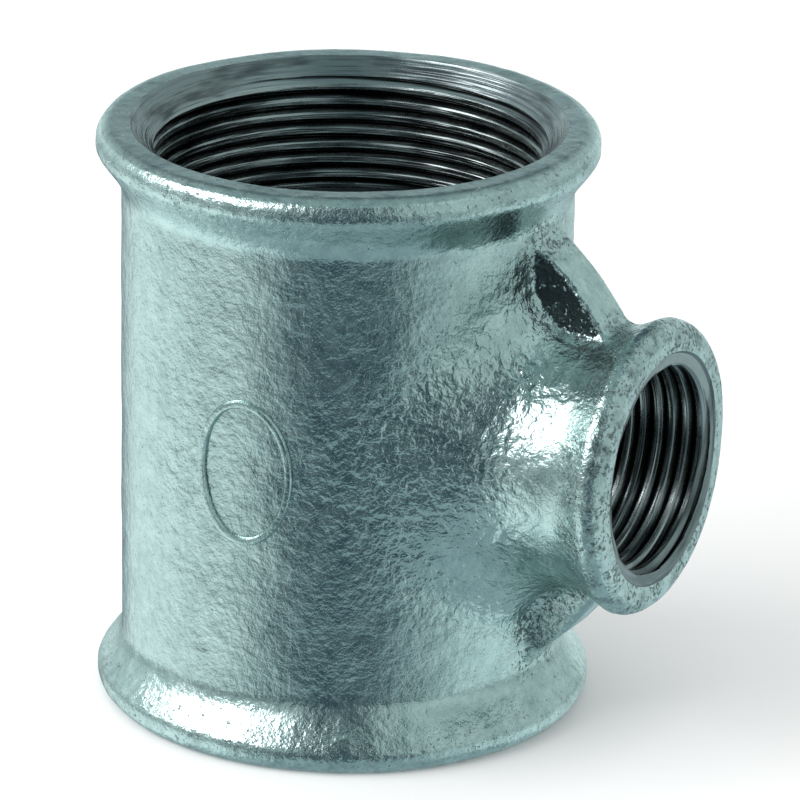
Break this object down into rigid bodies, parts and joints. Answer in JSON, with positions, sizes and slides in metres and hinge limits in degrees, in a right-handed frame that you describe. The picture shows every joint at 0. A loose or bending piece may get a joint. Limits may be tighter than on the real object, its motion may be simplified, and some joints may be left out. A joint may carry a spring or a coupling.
{
  "type": "reducing tee fitting",
  "caption": "Galvanised cast-iron reducing tee with beaded, internally threaded ends and two webs between its run and its smaller branch.",
  "frame": {"origin": "bottom centre of the bounding box, on the plane of the run's lower end face", "axes": "+Z along the run towards its upper end, +X along the branch towards its mouth"},
  "size_m": [0.0894, 0.0736, 0.088],
  "materials": {
    "galvanised_casting": "hot-dip zinc over a sand-cast skin, mottled pale blue-grey, semi-gloss",
    "machined_thread": "cut iron left bare and lightly oiled, dark grey with bright crests"
  },
  "bodies": {
    "root": {"tee_body": "galvanised_casting"}
  },
  "joints": []
}
